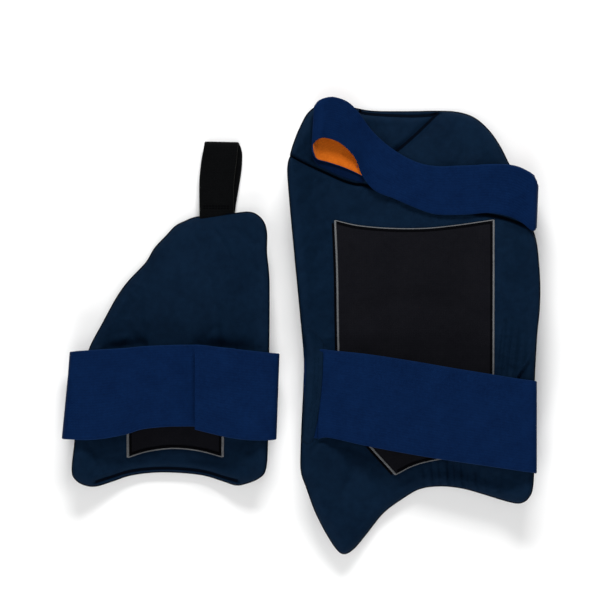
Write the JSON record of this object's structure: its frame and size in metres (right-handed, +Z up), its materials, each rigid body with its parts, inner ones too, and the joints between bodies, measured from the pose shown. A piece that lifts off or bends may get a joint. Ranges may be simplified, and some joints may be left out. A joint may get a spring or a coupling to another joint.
{
  "type": "cricket thigh guard set",
  "caption": "Padded outer and inner thigh guards bent to the leg, with wide elastic leg straps, a turned-back waist strap, a hinged hip flap and a webbing belt loop.",
  "frame": {"origin": "middle of the set's bounding box, on the surface that it lies on", "axes": "+Z up, away from the surface, leg side up; +Y to the hip end; +X from the inner guard to the outer guard"},
  "size_m": [0.4521, 0.4351, 0.0538],
  "materials": {
    "cover": "knitted stretch polyester",
    "lining": "brushed lining",
    "seam": "flat seam thread",
    "thread": "polyester thread",
    "elastic": "woven elastic",
    "elastic_inner_face": "woven elastic, body side",
    "hook_and_loop": "hook and loop tape",
    "webbing": "flat woven webbing",
    "foam": "closed-cell foam"
  },
  "bodies": {
    "outer_guard": {"hip_flex_tape": "webbing", "outer_comfort_foam": "foam", "outer_edge_gusset": "cover", "outer_impact_bolster_left": "foam", "outer_impact_bolster_middle": "foam", "outer_impact_bolster_right": "foam", "outer_leg_cover": "cover", "outer_lining_panel": "lining", "outer_lining_seam": "seam", "outer_shell_cover": "cover", "thigh_strap_facing": "cover", "thigh_strap_landing_patch": "hook_and_loop", "thigh_strap_root": "elastic", "thigh_strap_stitching": "thread"},
    "hip_flap": {"hip_corner_panel": "cover", "hip_edge_gusset": "cover", "hip_foam": "foam", "hip_leg_cover": "cover", "hip_seam_stitching": "thread", "hip_shell_cover": "cover", "waist_strap": "elastic", "waist_strap_landing_patch": "hook_and_loop", "waist_strap_lining": "elastic_inner_face", "waist_strap_root": "elastic", "waist_strap_stitching": "thread"},
    "waist_tab": {"waist_strap_hook_patch": "hook_and_loop", "waist_strap_tab": "elastic"},
    "thigh_strap": {"thigh_strap": "elastic"},
    "thigh_tab": {"thigh_strap_hook_patch": "hook_and_loop", "thigh_strap_tab": "elastic"},
    "inner_guard": {"inner_comfort_foam": "foam", "inner_edge_gusset": "cover", "inner_impact_bolster_left": "foam", "inner_impact_bolster_middle": "foam", "inner_impact_bolster_right": "foam", "inner_leg_cover": "cover", "inner_lining_panel": "lining", "inner_lining_seam": "seam", "inner_shell_cover": "cover", "inner_strap_left_end": "elastic", "inner_strap_left_end_stitching": "thread", "inner_strap_right_end": "elastic", "inner_strap_right_end_stitching": "thread", "webbing_loop_anchor": "webbing"},
    "inner_strap_right": {"inner_strap_hook_patch": "hook_and_loop", "inner_strap_right": "elastic"},
    "inner_strap_left": {"inner_strap_left": "elastic", "inner_strap_loop_patch": "hook_and_loop"},
    "webbing_loop": {"webbing_loop": "webbing", "webbing_loop_stitching": "thread"}
  },
  "joints": [
    {"name": "hip_flap_flex", "type": "hinge", "parent": "outer_guard", "child": "hip_flap", "pos_m": [-0.0095, 0.15986, 0], "axis": [-0.9599, 0.2805, 0], "range_deg": [0, 20]},
    {"name": "waist_tab_peel", "type": "hinge", "parent": "hip_flap", "child": "waist_tab", "pos_m": [0.22258, 0.12, 0.05379], "axis": [0, -1, 0], "range_deg": [0, 150]},
    {"name": "thigh_tab_peel", "type": "hinge", "parent": "thigh_strap", "child": "thigh_tab", "pos_m": [0.22386, -0.096, 0.0533], "axis": [0, -1, 0], "range_deg": [0, 150]},
    {"name": "thigh_strap_lift", "type": "hinge", "parent": "outer_guard", "child": "thigh_strap", "pos_m": [0.01819, -0.06462, 0.03448], "axis": [-0.088, -0.9961, 0], "range_deg": [0, 12]},
    {"name": "guards_part", "type": "slide", "parent": "outer_guard", "child": "inner_guard", "axis": [-1, 0, 0], "range_m": [0, 0.12]},
    {"name": "inner_strap_open", "type": "hinge", "parent": "inner_guard", "child": "inner_strap_right", "pos_m": [-0.0312, -0.066, 0.04136], "axis": [0, 1, 0], "range_deg": [0, 135]},
    {"name": "inner_strap_under_open", "type": "hinge", "parent": "inner_guard", "child": "inner_strap_left", "pos_m": [-0.2168, -0.066, 0.04136], "axis": [0, -1, 0], "range_deg": [0, 27]},
    {"name": "webbing_loop_fold", "type": "hinge", "parent": "inner_guard", "child": "webbing_loop", "pos_m": [-0.082, 0.10755, 0.0122], "axis": [1, 0, 0], "range_deg": [0, 90]}
  ],
  "couplings": [
    {"joint": "thigh_strap_lift", "follows": "thigh_tab_peel", "ratio": 0.08},
    {"joint": "inner_strap_under_open", "follows": "inner_strap_open", "ratio": 0.2}
  ]
}
